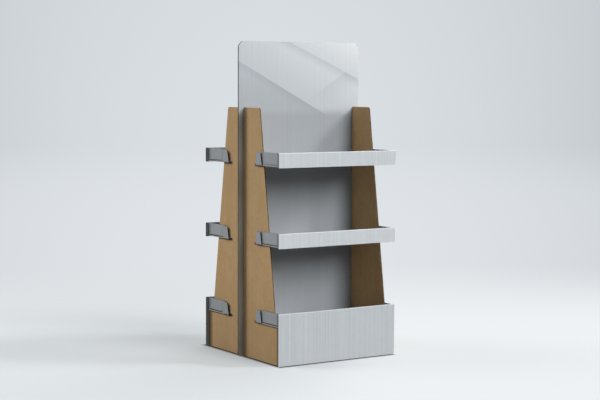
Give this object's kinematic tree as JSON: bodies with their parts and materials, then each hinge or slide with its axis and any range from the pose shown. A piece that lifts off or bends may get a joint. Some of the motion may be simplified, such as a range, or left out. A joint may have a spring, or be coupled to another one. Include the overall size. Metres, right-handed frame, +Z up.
{
  "type": "cardboard display stand",
  "caption": "Free-standing double-sided cardboard floor display with tapered kraft cheeks, a tall centre panel with a header, and folded lipped trays",
  "frame": {"origin": "middle of the footprint, on the floor", "axes": "+Z up, the front faces -Y, X runs across the front"},
  "size_m": [0.626, 0.623, 1.368],
  "materials": {
    "grey_panel": "matt light grey print on heavy corrugated board",
    "kraft_board": "plain brown kraft corrugated board",
    "grey_tray": "matt light grey print on corrugated board, folded"
  },
  "bodies": {
    "root": {"centre_panel": "grey_panel", "cheek_left": "kraft_board", "cheek_right": "kraft_board", "tray_front_base": "grey_tray", "tray_front_middle": "grey_tray", "tray_front_top": "grey_tray", "tray_back_base": "grey_tray", "tray_back_middle": "grey_tray", "tray_back_top": "grey_tray"}
  },
  "joints": []
}
